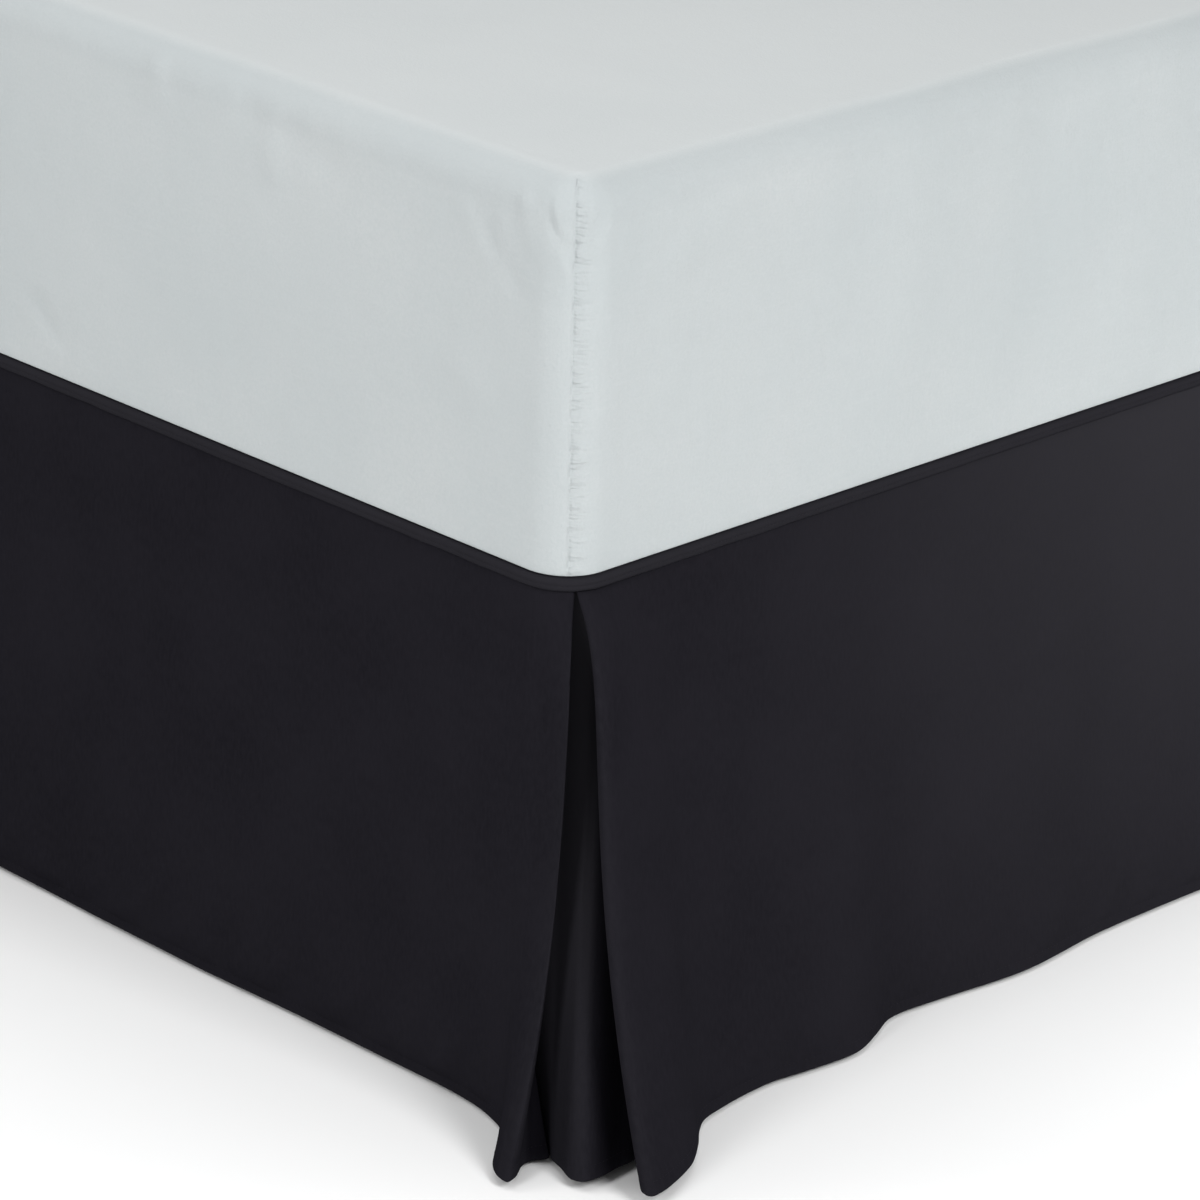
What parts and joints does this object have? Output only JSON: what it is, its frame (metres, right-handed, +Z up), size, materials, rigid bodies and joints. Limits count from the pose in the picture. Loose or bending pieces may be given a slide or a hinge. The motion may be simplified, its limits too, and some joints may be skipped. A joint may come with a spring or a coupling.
{
  "type": "bed skirt on a bed",
  "caption": "Tailored dark bed skirt with open inverted corner pleats, hung round a plain bed base under a pale mattress, stitched hem just off the floor.",
  "frame": {"origin": "on the floor, under the middle of the footprint of the skirt and bed", "axes": "+Z up; +Y along the bed towards the head, which is open; -Y is the foot; +X is the right side seen from the foot, so the corner in the picture is at +X, -Y"},
  "size_m": [1.7317, 2.0976, 0.6353],
  "materials": {
    "skirt_cloth": "matt brushed microfibre, near black with a violet cast",
    "sheet_cloth": "smooth woven cotton, pale grey",
    "base_ticking": "matt ticking",
    "leg_finish": "dark satin stain"
  },
  "bodies": {
    "root": {"platform": "skirt_cloth", "foot_panel": "skirt_cloth", "side_panel_right": "skirt_cloth", "side_panel_left": "skirt_cloth", "pleat_insert_right": "skirt_cloth", "pleat_insert_left": "skirt_cloth", "mattress": "sheet_cloth", "bed_base": "base_ticking", "leg_foot_left": "leg_finish", "leg_foot_right": "leg_finish", "leg_head_left": "leg_finish", "leg_head_right": "leg_finish"}
  },
  "joints": []
}
